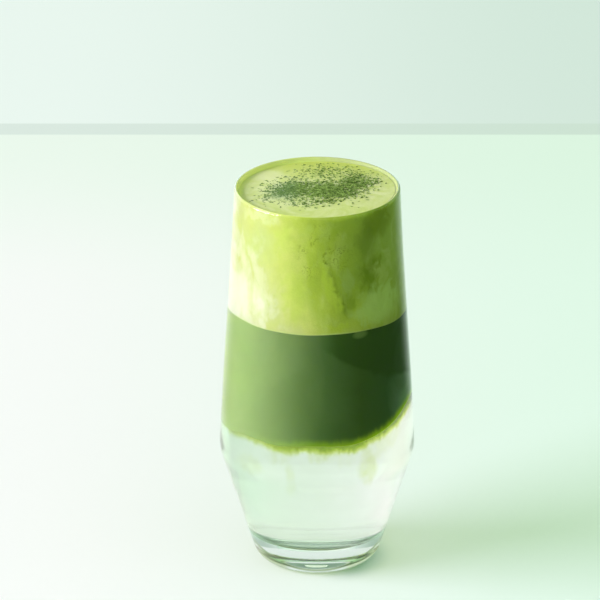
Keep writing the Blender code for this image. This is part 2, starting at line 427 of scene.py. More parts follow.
def ramp_across(across, width, start, stops):
    """A ramp over a width in metres, where start is its place at the middle of the glass."""
    return ramp(calc("MULTIPLY_ADD", across, 1 / width, start, clamp=True), stops)


def squares(across, down, centre_x, half_width, centre_down, half_height):
    """The square of the distance from a centre, counted in half widths and half heights."""
    off_x = calc("DIVIDE", calc("SUBTRACT", across, centre_x), half_width)
    off_down = calc("DIVIDE", calc("SUBTRACT", down, centre_down), half_height)
    return calc("MULTIPLY_ADD", off_x, off_x, times(off_down, off_down))


def oval(across, down, *form):
    """A soft oval spot: 1 in its middle, 0 at its edge. form: centre and half size each way."""
    return band(squares(across, down, *form), 1.0, 0.0)


def patched(colour, across, down, shown, patch):
    """The colour with an oval patch on it. patch: the oval's form, its share and its colour."""
    *form, share, patch_colour = patch
    return blend(times(oval(across, down, *form), shown, share), colour, patch_colour)


def object_place(tree):
    place = add(tree, "ShaderNodeTexCoord").outputs["Object"]
    parts = add(tree, "ShaderNodeSeparateXYZ", {"Vector": place})
    return place, parts.outputs["X"], parts.outputs["Y"], parts.outputs["Z"]


def attribute(tree, name):
    return add(tree, "ShaderNodeAttribute", attribute_name=name).outputs["Fac"]


def facing_up(tree):
    normal = add(tree, "ShaderNodeNewGeometry").outputs["Normal"]
    return add(tree, "ShaderNodeSeparateXYZ", {"Vector": normal}).outputs["Z"]


def group_of(name, inputs, outputs):
    made = bpy.data.node_groups.new(name, "ShaderNodeTree")
    for socket, kind, value in inputs:
        entry = made.interface.new_socket(socket, in_out="INPUT", socket_type=kind)
        if value is not None:
            entry.default_value = value
    for socket, kind in outputs:
        made.interface.new_socket(socket, in_out="OUTPUT", socket_type=kind)
    return made, made.nodes.new("NodeGroupInput").outputs, made.nodes.new("NodeGroupOutput")


def use_group(group, place, **inputs):
    values = {name.replace("_", " "): value for name, value in inputs.items()}
    return add(place.id_data, "ShaderNodeGroup", {"Place": place, **values}, node_tree=group).outputs


NOISE_MIDDLE = 0.5
NOISE_REACH = (0.32, 0.68)  # a soft noise seldom leaves it
LARGE_BUBBLES = 0.31  # scale of the large bubbles beside the fine ones
LARGE_BUBBLE_HEIGHT = 0.6
OPEN_BUBBLE = (0.16, 0.05)
MARK_PATCHES = 0.30  # scale of the patches that show marks beside the marks' own
MARK_EDGE = 14.0  # how sharply a patch of marks ends


def make_drift():
    """Soft streaked unevenness, as drink or foam gets where it was poured: 0 to 1."""
    group, given, out = group_of(
        "drift",
        [("Place", "NodeSocketVector", None), ("Scale", "NodeSocketFloat", 100.0),
         ("Height Scale", "NodeSocketFloat", 1.0), ("Warp", "NodeSocketFloat", 0.5)],
        [("Amount", "NodeSocketFloat")],
    )
    squash = add(group, "ShaderNodeCombineXYZ", {"X": 1.0, "Y": 1.0, "Z": given["Height Scale"]})
    flat = add(
        group, "ShaderNodeVectorMath", {0: given["Place"], 1: squash.outputs[0]}, operation="MULTIPLY",
    )
    cloud = add(
        group, "ShaderNodeTexNoise",
        {"Vector": flat.outputs[0], "Scale": given["Scale"], "Detail": 4.0, "Roughness": 0.55,
         "Distortion": given["Warp"]},
    )
    group.links.new(band(cloud.outputs["Fac"], *NOISE_REACH), out.inputs["Amount"])
    return group


def make_froth():
    """Fine bubbles of a whipped foam: their height, and a mask of the open ones."""
    group, given, out = group_of(
        "froth",
        [("Place", "NodeSocketVector", None), ("Scale", "NodeSocketFloat", 900.0)],
        [("Height", "NodeSocketFloat"), ("Open", "NodeSocketFloat")],
    )
    fine = add(group, "ShaderNodeTexVoronoi", {"Vector": given["Place"], "Scale": given["Scale"]})
    wide = times(given["Scale"], LARGE_BUBBLES)
    large = add(group, "ShaderNodeTexVoronoi", {"Vector": given["Place"], "Scale": wide})
    both = moved(fine.outputs["Distance"], large.outputs["Distance"], LARGE_BUBBLE_HEIGHT)
    group.links.new(both, out.inputs["Height"])
    group.links.new(band(large.outputs["Distance"], *OPEN_BUBBLE), out.inputs["Open"])
    return group


def make_marks():
    """Short broken lines, as foam gets where it creased or bubbles burst: 0 to 1."""
    group, given, out = group_of(
        "marks",
        [("Place", "NodeSocketVector", None), ("Scale", "NodeSocketFloat", 300.0),
         ("Width", "NodeSocketFloat", 0.03), ("Gaps", "NodeSocketFloat", 0.55)],
        [("Amount", "NodeSocketFloat")],
    )
    line = add(
        group, "ShaderNodeTexNoise",
        {"Vector": given["Place"], "Scale": given["Scale"], "Detail": 2.0, "Distortion": 1.2},
    )
    off = away(line.outputs["Fac"], NOISE_MIDDLE)
    near = calc("SUBTRACT", 1.0, calc("DIVIDE", off, given["Width"]), clamp=True)
    wide = times(given["Scale"], MARK_PATCHES)
    patch = add(group, "ShaderNodeTexNoise", {"Vector": given["Place"], "Scale": wide, "Detail": 2.0})
    kept = calc("SUBTRACT", patch.outputs["Fac"], given["Gaps"])
    shown = calc("MULTIPLY", kept, MARK_EDGE, clamp=True)
    group.links.new(times(near, shown), out.inputs["Amount"])
    return group


DRIFT = make_drift()
FROTH = make_froth()
MARKS = make_marks()


def drift(place, scale, height_scale, warp):
    return use_group(DRIFT, place, Scale=scale, Height_Scale=height_scale, Warp=warp)["Amount"]


def feed(shader, name, value):
    shader.id_data.links.new(value, shader.inputs[name])


def bump(shader, height, strength, distance):
    values = {"Height": height, "Strength": strength, "Distance": distance}
    feed(shader, "Normal", add(shader.id_data, "ShaderNodeBump", values).outputs["Normal"])


# The glass. Light trapped in it is a painted glow: it glows where a ray was mirrored inside it again
# and again
MIRRORED_OFTEN = 3.5
NO_LIGHT = (0.0, 0.0, 0.0)
TRAPPED_LOW = ((0.10, 0.17, 0.04), (0.28, 0.40, 0.12))
TRAPPED_HIGH = ((0.24, 0.38, 0.27), (0.30, 0.46, 0.33))
TRAPPED_TURN = (0.009, 0.0125)  # height
TRAPPED_BELLY = (0.62, 0.78, 0.66)
BELLY_SIDES = (0.026, 0.032)
BELLY_BOTTOM = (0.022, 0.030)

# Its base, painted with the shade and reflections the thick glass shows: a belt of painted shade in
# front, corners with a painted reflection of the tea, a spot of painted shade over a glint in the
# middle of the foot and a painted shadow line round the foot. The bend of a line is what it rises
# with the square of x.
PLAIN_GLASS = (0.985, 1.0, 0.99)
BELT_BOTTOM = (0.0137, -10.0)  # height, bend
BELT_TOP = (0.01605, -3.0)
BELT_EDGE = (-0.0004, 0.0003)
BELT_FRONT = (0.004, -0.002)
BELT_SIDES = (0.010, 0.022)
BELT_SHADES = ((0.80, 0.88, 0.84), (0.23, 0.34, 0.27))  # middle, sides
CORNER_TOP = (0.0085, 0.0065)
CORNER_SIDES = (0.009, 0.013)
CORNER_TURN = (-0.004, 0.004)
CORNER_REFLECTIONS = ((0.40, 0.46, 0.21), (0.72, 0.78, 0.45))  # left, right
FOOT_GLINT_SHADE = (0.0, 0.0125, 0.0054, 0.0014, 1.0, (0.66, 0.72, 0.60))
FOOT_SPOT_FRONT = (-0.010, -0.016)
FOOT_LINE = (0.0031, 11.5)  # height, bend
FOOT_LINE_WIDTH = (0.0011, 0.0003)
FOOT_LINE_FRONT = (-0.004, -0.012)
FOOT_SHADOW_COLOUR = (0.20, 0.28, 0.12)


def painted_trapped_glow(shader, unevenness, x, z, otherwise=NO_LIGHT):
    """A painted glow: olive light of the tea in the thick base and pale light at the belly, where it
    is trapped.
    """
    mirrored = add(shader.id_data, "ShaderNodeLightPath").outputs["Glossy Depth"]
    trapped = calc("GREATER_THAN", mirrored, MIRRORED_OFTEN)
    low = blend(unevenness, *TRAPPED_LOW)
    high = blend(unevenness, *TRAPPED_HIGH)
    lit = blend(band(z, *TRAPPED_TURN), low, high)
    sides = band(calc("ABSOLUTE", x), *BELLY_SIDES)
    belly = times(sides, band(z, *BELLY_BOTTOM))
    lit = blend(belly, lit, TRAPPED_BELLY)
    feed(shader, "Emission Color", blend(trapped, otherwise, lit))


def bent_line(x, height, bend):
    return moved(height, times(x, x), bend)


def painted_base_shade(x, y, z):
    """The thick base: a grey green belt of painted shade in front, olive corners that are a painted
    reflection of the tea, a spot of painted shade over a glint and a dark foot line that is a painted
    shadow.
    """
    aside = calc("ABSOLUTE", x)
    above = calc("SUBTRACT", z, bent_line(x, *BELT_BOTTOM))
    below = calc("SUBTRACT", bent_line(x, *BELT_TOP), z)
    belt = times(band(above, *BELT_EDGE), band(below, *BELT_EDGE))
    belt = times(belt, band(y, *BELT_FRONT))
    grey = blend(band(aside, *BELT_SIDES), *BELT_SHADES)
    colour = blend(belt, PLAIN_GLASS, grey)
    corner = times(band(z, *CORNER_TOP), band(aside, *CORNER_SIDES))
    olive = blend(band(x, *CORNER_TURN), *CORNER_REFLECTIONS)
    colour = blend(corner, colour, olive)
    colour = patched(colour, x, z, band(y, *FOOT_SPOT_FRONT), FOOT_GLINT_SHADE)
    line = band(away(z, bent_line(x, *FOOT_LINE)), *FOOT_LINE_WIDTH)
    line = times(line, band(y, *FOOT_LINE_FRONT))
    return blend(line, colour, FOOT_SHADOW_COLOUR)


def clear_glass():
    material, tree, shader = new_material(
        "clear_glass", Roughness=0.0, IOR=1.5, Transmission_Weight=1.0, Emission_Strength=1.0,
    )
    place, x, y, z = object_place(tree)
    waves = drift(place, scale=55.0, height_scale=0.5, warp=0.3)
    bump(shader, waves, strength=0.04, distance=0.0006)
    feed(shader, "Base Color", painted_base_shade(x, y, z))
    painted_trapped_glow(shader, waves, x, z)
    return material


def tumbler():
    rim_centre = (RIM_RADIUS - RIM_ROUND, RIM_CENTRE_HEIGHT)
    rim = arc(rim_centre, RIM_ROUND, math.pi, 0.0, INNER_SEGMENTS)
    quarter = arc((0.0, 0.0), PUNT_RADIUS, 0.0, math.pi / 2, OUTER_SEGMENTS)
    dome = [(r, z * PUNT_DEPTH / PUNT_RADIUS) for r, z in quarter]
    inside = [(0.0, FLOOR_HEIGHT)] + INNER_SIDE[::-1]
    outline = inside[:-1] + rim + OUTER_SIDE[1:] + dome[:-1] + [(0.0, PUNT_DEPTH)]
    made = piece("tumbler", turned(outline), clear_glass())
    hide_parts("glass")


# The pale lower drink
# Painted shade and light: the pale drink is darker on the left and lighter on the right
PALE_SIDES = (-0.034, 0.036)
PALE_SHADED_TO_LIT = ((0.935, 0.98, 0.88), (1.0, 1.0, 0.97))  # left, right
PALE_CLOUD = 0.008
# Painted glows: emission that stands in for light scattered in the pale drink
PALE_PAINTED_GLOWS = (  # light scattered in it: the measure it follows, sideways, heights, colour
    ("clouded", (0.004, 0.032), [(0.056, 0.034)], (0.050, 0.028, 0.050)),
    ("off the right wall", (0.0110, 0.0200), [(0.058, 0.045)], (0.20, 0.15, 0.19)),
    ("off the left wall", (-0.0150, -0.0215), [(0.058, 0.045)], (0.10, 0.08, 0.06)),
    ("across", (0.018, 0.031), [(0.036, 0.046)], (0.14, 0.15, 0.09)),
    ("aside", (0.0310, 0.0345), [(0.036, 0.046), (0.064, 0.056)], (0.24, 0.30, 0.22)),
)


def pale_liquid():
    material, tree, shader = new_material(
        "pale_liquid", Roughness=0.0, IOR=1.34, Transmission_Weight=1.0, Emission_Strength=1.0,
    )
    place, x, _, z = object_place(tree)
    cloud = drift(place, scale=70.0, height_scale=0.5, warp=0.6)
    clouded = moved(x, cloud, PALE_CLOUD)
    # Painted shade on the left, painted light on the right
    colour = blend(band(clouded, *PALE_SIDES), *PALE_SHADED_TO_LIT)
    feed(shader, "Base Color", colour)
    measures = {
        "clouded": clouded,
        "off the right wall": moved(x, z, -LOWER_SLOPE),
        "off the left wall": moved(x, z, LOWER_SLOPE),
        "across": x,
        "aside": calc("ABSOLUTE", x),
    }
    # Painted glows
    glow = NO_LIGHT
    for measure, sideways, upward, light in PALE_PAINTED_GLOWS:
        shown = band(measures[measure], *sideways)
        for reach in upward:
            shown = times(shown, band(z, *reach))
        glow = blend(shown, glow, light)
    painted_trapped_glow(shader, cloud, x, z, glow)
    return material


def pale_drink():
    corner = inner_corner(WALL_REACH)
    bend_from = corner[0][1]
    top = TEA_LINE + LAYER_OVERLAP
    side = [(drink_radius(z), z) for z in heights(top, bend_from, PALE_ROWS)]
    cap = rings_at(side[0][0], top)[::-1]
    form = turned([(0.0, top)] + cap + side[:-1] + corner + [(0.0, FLOOR_HEIGHT - WALL_REACH)])
    for vertex in form.verts:
        if vertex.co.z > bend_from:
            shape_to_lines(vertex.co, top, bend_from, tea_line_rise, level)
    made = piece("pale_drink", form, pale_liquid())
    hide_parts("pale_layer")


# The green tea
TEA_WIDTH = 0.072
# Painted light and shade: the tea is lit pale on the left and shaded dark to the right, with a painted
# reflection as a lighter band along the right edge
TEA_LIGHT_AND_SHADE = (  # place over its width, colour
    (0.00, (0.46, 0.58, 0.27)),
    (0.20, (0.34, 0.47, 0.18)),
    (0.38, (0.22, 0.33, 0.11)),
    (0.55, (0.105, 0.20, 0.048)),
    (0.75, (0.058, 0.130, 0.012)),
    (0.90, (0.052, 0.130, 0.022)),
    (0.95, (0.120, 0.230, 0.085)),
    (0.99, (0.210, 0.370, 0.150)),
)
TEA_DRIFT = 0.0035
# Lighter where it thins, most on the shaded right: partly the thinned tea's own colour and partly
# painted light shining through it
TEA_THINNED = (  # the same at its ragged foot
    (0.10, (0.40, 0.54, 0.23)),
    (0.50, (0.26, 0.46, 0.022)),
    (0.85, (0.50, 0.78, 0.014)),
)
TEA_FEATHER = -0.0008
TEA_FOOT = (0.0034, -0.0006)  # height above the tea line
TEA_FOOT_CURVE = 1.5
# A painted shadow: the tea is darker in the corner under the foam on the right
TEA_SHADOW_SLANT = 0.61  # the dark corner under the foam on the right
TEA_SHADOW_DRIFT = 0.004
TEA_SHADOW_BOTTOM = (0.0995, 0.1020)
TEA_SHADOW_LEFT = (0.0, 0.009)
TEA_SHADOW_FRONT = (0.0, -0.008)
TEA_SHADOW_SHARE = 0.7
TEA_SHADOW_COLOUR = (0.032, 0.092, 0.001)
SUNK_FOAM = (0.0158, 0.0034, 0.1022, 0.0020, 0.55, (0.24, 0.38, 0.09))  # a spot in the tea
# Painted light: the underside, which lies in shade, is paler
UNDERSIDE = (-0.4, -0.8)  # height of the normal
UNDERSIDE_LIGHT = (0.72, 0.86, 0.60)


def tea_liquid():
    material, tree, shader = new_material(
        "tea_liquid", Roughness=0.35, Specular_IOR_Level=0.1, Subsurface_Weight=0.5,
        Subsurface_Radius=(1.0, 1.3, 0.3), Subsurface_Scale=0.005,
    )
    place, x, y, z = object_place(tree)
    cloud = drift(place, scale=38.0, height_scale=0.8, warp=1.0)
    # Painted light on the left and painted shade to the right
    body = ramp_across(moved(x, cloud, TEA_DRIFT), TEA_WIDTH, 0.5, TEA_LIGHT_AND_SHADE)
    # A painted shadow in the corner under the foam on the right
    edge = moved(moved(z, x, TEA_SHADOW_SLANT), cloud, TEA_SHADOW_DRIFT)
    dark = times(band(edge, *TEA_SHADOW_BOTTOM), band(x, *TEA_SHADOW_LEFT))
    dark = times(dark, band(y, *TEA_SHADOW_FRONT), TEA_SHADOW_SHARE)
    body = blend(dark, body, TEA_SHADOW_COLOUR)
    body = patched(body, x, z, 1.0, SUNK_FOAM)
    feather = drift(place, scale=420.0, height_scale=0.35, warp=0.4)
    ragged = moved(attribute(tree, "above_line"), feather, TEA_FEATHER)
    thin = calc("POWER", band(ragged, *TEA_FOOT), TEA_FOOT_CURVE)
    # The thinned foot: partly its own colour, partly painted light
    body = blend(thin, body, ramp_across(x, TEA_WIDTH, 0.5, TEA_THINNED))
    # The underside is painted lighter: painted light where it lies in shade
    body = blend(band(facing_up(tree), *UNDERSIDE), body, UNDERSIDE_LIGHT)
    feed(shader, "Base Color", body)
    bump(shader, cloud, strength=0.05, distance=0.001)
    return material


def green_tea():
    top = FOAM_LINE + TEA_OVERLAP
    wall = [(drink_radius(z), z) for z in heights(top, TEA_LINE, TEA_ROWS)]
    cap = rings_at(wall[0][0], top)[::-1]
    base = rings_at(wall[-1][0], TEA_LINE)
    form = turned([(0.0, top)] + cap + wall + base + [(0.0, TEA_LINE)])
    above = form.verts.layers.float.new("above_line")
    for vertex in form.verts:
        point = vertex.co
        share = math.hypot(point.x, point.y) / drink_radius(point.z)
        shape_to_lines(point, top, TEA_LINE, foam_line_rise, tea_line_rise)
        vertex[above] = point.z - TEA_LINE - tea_line_rise(front_angle(point), share)
        point.x *= TEA_INSET
        point.y *= TEA_INSET
    made = piece("green_tea", form, tea_liquid())
    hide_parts("tea_layer")


# The fringe: depths are below the tea line
FRINGE_FEATHER = 0.0010
FRINGE_CLOUD = 0.0012
FRINGE_LENGTH = (-0.008, -0.030, -0.0011, 0.0004)  # how much shorter it is to the left
FRINGE_DEPTH = (0.0050, 0.0002)
FRINGE_CURVE = 2.0
FRINGE_LEFT = (-0.034, 0.002, 0.36, 1.20)  # how strong it is on the left, on the right
FRINGE_RIGHT = (0.020, 0.030, 1.0, 1.6)
WISP_DRIFT = 0.0020
WISP_FRONT = (0.0, -0.008)
WISP_LEAST = 0.35
WISP_UNEVEN = 0.8
THINNED_STOPS = 12


def thinned_tea():
    material, tree, shader = new_material(
        "thinned_tea", Roughness=0.0, IOR=1.0, Specular_IOR_Level=0.0, Transmission_Weight=1.0,
    )
    place, x, y, _ = object_place(tree)
    depth = attribute(tree, "below_line")
    feather = drift(place, scale=380.0, height_scale=0.25, warp=0.8)
    cloud = drift(place, scale=90.0, height_scale=0.9, warp=0.8)
    ragged = moved(moved(depth, cloud, FRINGE_CLOUD), feather, FRINGE_FEATHER)
    ragged = calc("ADD", ragged, band(x, *FRINGE_LENGTH))
    fade = calc("POWER", band(ragged, *FRINGE_DEPTH), FRINGE_CURVE)
    strength = times(fade, band(x, *FRINGE_LEFT), band(x, *FRINGE_RIGHT))
    wispy = drift(place, scale=170.0, height_scale=0.55, warp=0.9)
    front = times(band(y, *WISP_FRONT), moved(WISP_LEAST, wispy, WISP_UNEVEN))
    soft_x = unsettled(x, (cloud, WISP_DRIFT))
    soft_depth = moved(depth, feather, WISP_DRIFT)
    for *form, share in WISPS:
        spot = times(oval(soft_x, soft_depth, *form), front)
        strength = moved(strength, spot, share)
    part = calc("DIVIDE", strength, TEA_STRONGEST, clamp=True)
    parts = [step / THINNED_STOPS for step in range(THINNED_STOPS + 1)]
    colour = ramp(part, [
        (at, [math.exp(-TEA_STRONGEST * tint * at) for tint in TEA_TINT]) for at in parts
    ])
    feed(shader, "Base Color", colour)
    return material


def fringe():
    """The feathered edge where the tea thins into the pale drink, and the wisps that hang from it."""
    rows = heights(TEA_LINE + FRINGE_OVERLAP, TEA_LINE - WISP_DEPTH, FRINGE_ROWS)
    outside = [(drink_radius(z) - FRINGE_INSET, z) for z in rows]
    inside = [(r - FRINGE_THICKNESS, z) for r, z in outside[::-1]]
    form = turned(outside + inside + outside[:1], FRINGE_STEPS)
    below = form.verts.layers.float.new("below_line")
    for vertex in form.verts:
        point = vertex.co
        gap = drink_radius(point.z) - math.hypot(point.x, point.y)
        drop = TEA_LINE - point.z
        rise = tea_line_rise(front_angle(point))
        point.z += rise * (1 - max(drop, 0.0) / WISP_DEPTH)
        vertex[below] = TEA_LINE + rise - point.z
        stretch = (drink_radius(point.z) - gap) / math.hypot(point.x, point.y)
        point.x *= stretch
        point.y *= stretch
    piece("tea_fringe", form, thinned_tea())


# The foam's side
FOAM_WIDTH = 0.066
FOAM_START = 0.38
# Cream on the left to green on the right: partly the foam's own colour, partly painted light on the
# left and painted shade on the right, and a lighter far right edge that is a painted reflection
FOAM_COLOUR_AND_LIGHT = (  # place over its width, colour
    (0.00, (0.84, 0.845, 0.68)),
    (0.12, (0.67, 0.715, 0.30)),
    (0.27, (0.68, 0.74, 0.21)),
    (0.46, (0.54, 0.66, 0.090)),
    (0.62, (0.40, 0.54, 0.050)),
    (0.80, (0.36, 0.51, 0.060)),
    (1.00, (0.47, 0.64, 0.140)),
)
FOAM_WIDE_SHIFT = 0.011
FOAM_CLOUD_SHIFT = 0.004
CREAM_SHIFT = (0.128, 0.108, 0.0, 0.0090)  # the cream reaches further right lower down
INNER_SIDE_SHARE = (-0.026, -0.008, 0.15, 1.0)  # how much of the clouds shows on the left
LIGHT_CLOUD = ((0.45, 1.0), 0.30, (0.62, 0.73, 0.20))  # part of the cloud, share, colour
DEEP_CLOUD = ((0.45, 0.95), 0.30, (0.20, 0.31, 0.004))
DEEP_LEFT = (-0.006, 0.016)
FOAM_FRONT = (-0.002, -0.010)
FOAM_PATCHES = (  # on its front: x, half width, z, half height, share, colour
    (0.0214, 0.0060, 0.1455, 0.0085, 0.75, (0.21, 0.31, 0.000)),
    (0.0170, 0.0050, 0.1390, 0.0080, 0.55, (0.20, 0.30, 0.020)),
    (0.0192, 0.0052, 0.1245, 0.0095, 0.90, (0.20, 0.31, 0.004)),
    (-0.0205, 0.0070, 0.1355, 0.0110, 0.50, (0.62, 0.72, 0.27)),
    (0.0040, 0.0040, 0.1190, 0.0110, 0.35, (0.50, 0.64, 0.060)),
    (0.0115, 0.0030, 0.1165, 0.0055, 0.45, (0.22, 0.33, 0.020)),
    (0.0080, 0.0045, 0.1390, 0.0060, 0.35, (0.46, 0.58, 0.120)),
    (0.0108, 0.0035, 0.1240, 0.0065, 0.45, (0.42, 0.56, 0.150)),
    (0.0225, 0.0095, 0.1115, 0.0100, 0.70, (0.56, 0.76, 0.200)),
    (-0.0080, 0.0060, 0.1180, 0.0110, 0.40, (0.62, 0.76, 0.110)),
    (-0.0125, 0.0045, 0.1400, 0.0080, 0.35, (0.68, 0.82, 0.180)),
    (0.0080, 0.0060, 0.1060, 0.0025, 0.50, (0.52, 0.68, 0.050)),
    (-0.0215, 0.0080, 0.1475, 0.0035, 0.60, (0.80, 0.84, 0.48)),
)
PATCH_SHIFT = 0.0030
PATCH_SHIFT_ASIDE = 0.0022
DAB_SHARE = 0.15
DAB_COLOUR = (0.32, 0.46, 0.06)
MARKED_PART = (0.0022, 0.012, 0.1355, 0.015)
MARK_LEAST = 0.07
MARK_MOST = 0.85
MARK_COLOUR = (0.14, 0.22, 0.010)

# The crease down its front, painted: a painted shade in it and a painted highlight on its left; down
# runs from 0 at its top to 1 at its foot
CREASE_TOP = 0.136
CREASE_FOOT = 0.1110
CREASE_START = 0.0052  # x
CREASE_RUN = 0.0072  # how far right it runs
CREASE_CURVE = 1.5
CREASE_STREAK = 0.0022
CREASE_STARTS = (-0.10, 0.35)
CREASE_ENDS = (1.05, 0.85)
CREASE_FRONT = (-0.005, -0.012)
CREASE_HIGHLIGHT_SIDE = -0.0026  # from the crease
CREASE_HIGHLIGHT_WIDTH = (0.0022, 0.0004)
CREASE_HIGHLIGHT_SHARE = 0.55
CREASE_HIGHLIGHT_COLOUR = (0.56, 0.72, 0.070)
CREASE_SIDE = 0.0003
CREASE_WIDTH = (0.0010, 0.0001)
CREASE_BREAKS = (0.3, 0.7, 0.2, 1.0)
CREASE_FAINT = (0.55, 0.90, 0.30, 0.60)
CREASE_SHADE_COLOUR = (0.15, 0.24, 0.010)


def foam_side(place, x, y, z):
    """Cream on the left running into yellow green and deeper green, partly painted light and shade,
    with clouds and creases.
    """
    wide = drift(place, scale=62.0, height_scale=0.60, warp=0.5)
    cloud = drift(place, scale=135.0, height_scale=0.75, warp=0.8)
    dab = drift(place, scale=300.0, height_scale=0.65, warp=0.6)
    across = moved(moved(x, wide, FOAM_WIDE_SHIFT), cloud, FOAM_CLOUD_SHIFT)
    across = calc("SUBTRACT", across, band(z, *CREAM_SHIFT))
    # Partly painted light on the left and painted shade on the right
    side = ramp_across(across, FOAM_WIDTH, FOAM_START, FOAM_COLOUR_AND_LIGHT)
    inner = band(x, *INNER_SIDE_SHARE)
    part, share, colour = LIGHT_CLOUD
    side = blend(times(band(cloud, *part), inner, share), side, colour)
    part, share, colour = DEEP_CLOUD
    deep = times(band(wide, *part), band(x, *DEEP_LEFT), share)
    side = blend(deep, side, colour)
    front = band(y, *FOAM_FRONT)
    soft_x = unsettled(x, (cloud, PATCH_SHIFT), (dab, PATCH_SHIFT_ASIDE))
    soft_z = unsettled(z, (wide, PATCH_SHIFT), (dab, PATCH_SHIFT))
    for patch in FOAM_PATCHES:
        side = patched(side, soft_x, soft_z, front, patch)
    side = blend(times(dab, inner, DAB_SHARE), side, DAB_COLOUR)
    marks = use_group(MARKS, place, Scale=420.0, Width=0.030, Gaps=0.50)["Amount"]
    busy = times(oval(x, z, *MARKED_PART), front)
    marked = times(marks, moved(MARK_LEAST, busy, MARK_MOST))
    side = blend(marked, side, MARK_COLOUR)
    return foam_crease(side, dab, x, y, z)


def foam_crease(side, streak, x, y, z):
    """The curved crease on the front, painted: dark with painted shade, with a bright line of painted
    highlight on its left.
    """
    down = calc("DIVIDE", calc("SUBTRACT", CREASE_TOP, z), CREASE_TOP - CREASE_FOOT)
    course = calc("POWER", calc("MAXIMUM", down, 0.0), CREASE_CURVE)
    course = moved(CREASE_START, course, CREASE_RUN)
    off = calc("SUBTRACT", moved(x, streak, CREASE_STREAK), course)
    along = times(band(down, *CREASE_STARTS), band(down, *CREASE_ENDS))
    along = times(along, band(y, *CREASE_FRONT))
    bright = band(away(off, CREASE_HIGHLIGHT_SIDE), *CREASE_HIGHLIGHT_WIDTH)
    side = blend(times(bright, along, CREASE_HIGHLIGHT_SHARE), side, CREASE_HIGHLIGHT_COLOUR)
    dark = band(away(off, CREASE_SIDE), *CREASE_WIDTH)
    faint = times(band(streak, *CREASE_BREAKS), band(down, *CREASE_FAINT))
    return blend(times(dark, along, faint), side, CREASE_SHADE_COLOUR)


# The foam's top, and the film that climbs the wall
TOP_COLOURS = ((0.57, 0.67, 0.24), (0.67, 0.74, 0.37))
TOP_BACK = (0.004, 0.028, 0.0, 0.85)
TOP_BACK_COLOUR = (0.50, 0.60, 0.10)
TOP_SLANT = 0.5
TOP_SLANT_REACH = (-0.020, 0.022)
TOP_SHADES = ((1.08, 1.04, 1.08), (0.98, 0.95, 0.92))  # left in front, right at the back
TOP_FRONT = (-0.004, -0.022)
TOP_FRONT_SHADE = (0.90, 0.93, 0.76)
LIME_EDGE = (0.84, 0.98)  # share of the radius
LIME_RIGHT = (0.006, -0.020)
LIME_BACK = (0.018, 0.008)
LIME_SHARE = 0.75
LIME_COLOUR = (0.80, 0.92, 0.26)
BEIGE_SPOT = (-0.0190, 0.0080, 0.0155, 0.0075, 0.7, (0.74, 0.77, 0.42))
DUST_COVER = (0.10, 1.05)
DUST_GRAIN = (0.45, 0.55)  # least, and how much more its grain adds
DUST_TURN = (-0.002, -0.012)
DUST_COLOURS = ((0.24, 0.36, 0.12), (0.20, 0.34, 0.17))  # right, left
DUST_SHARE = (0.000, 0.012, 0.85, 0.30)
LAPPED = (RIM_CENTRE_HEIGHT - 0.00005, RIM_CENTRE_HEIGHT + 0.00002)
FILM_WALL = (1.0015, 0.9995)  # share of the radius
FILM_STARTS = (0.968, 0.978)
FILM_FRONT = (-0.024, -0.008)
FILM_TURN = (-0.010, 0.012)
# Painted light and shade: the film is lighter on the left, where the window leaves it in shade, and
# darker on the right, where the window lights it
FILM_LIT_AND_SHADED = ((0.60, 0.73, 0.20), (0.34, 0.39, 0.17))  # left, right
FILM_SHARE = 0.9

# Where side and top meet, and the light lip along the foam's foot
TOP_NORMAL = (0.3, 0.6)
LIP_HEIGHT = (0.0009, 0.0)
LIP_SHARE = (0.022, 0.004, 0.15, 0.6)
LIP_COLOUR = (0.66, 0.80, 0.28)
OPEN_SHARE = 0.12
OPEN_COLOUR = (0.25, 0.36, 0.05)


def powder_cover(x, y):
    """How thickly powder lies at a place on the foam: 0 to about 1."""
    total = 0.0
    for centre_x, centre_y, spread_x, spread_y, share in POWDER_LOBES:
        form = (centre_x, spread_x * DUST_SPREAD, centre_y, spread_y * DUST_SPREAD)
        bell = calc("POWER", math.e, times(squares(x, y, *form), -0.5))
        total = moved(total, bell, share * DUST_AREA / (spread_x * spread_y))
    return total


def foam_surface(place, x, y, wall_share):
    """The top of the foam: cream, greener at the back, with powder dust on it."""
    cloud = drift(place, scale=95.0, height_scale=1.0, warp=1.8)
    top = blend(cloud, *TOP_COLOURS)
    top = blend(band(y, *TOP_BACK), top, TOP_BACK_COLOUR)
    slant = moved(x, y, TOP_SLANT)
    shade = blend(band(slant, *TOP_SLANT_REACH), *TOP_SHADES)
    top = blend(1.0, top, shade, "MULTIPLY")
    top = blend(band(y, *TOP_FRONT), top, TOP_FRONT_SHADE, "MULTIPLY")
    lime = times(band(wall_share, *LIME_EDGE), band(x, *LIME_RIGHT), band(y, *LIME_BACK), LIME_SHARE)
    top = blend(lime, top, LIME_COLOUR)
    top = patched(top, x, y, 1.0, BEIGE_SPOT)
    grain = drift(place, scale=800.0, height_scale=1.0, warp=0.6)
    rough = moved(DUST_GRAIN[0], grain, DUST_GRAIN[1])
    dust = times(band(powder_cover(x, y), *DUST_COVER), rough)
    green = blend(band(x, *DUST_TURN), *DUST_COLOURS)
    return blend(times(dust, band(x, *DUST_SHARE)), top, green)


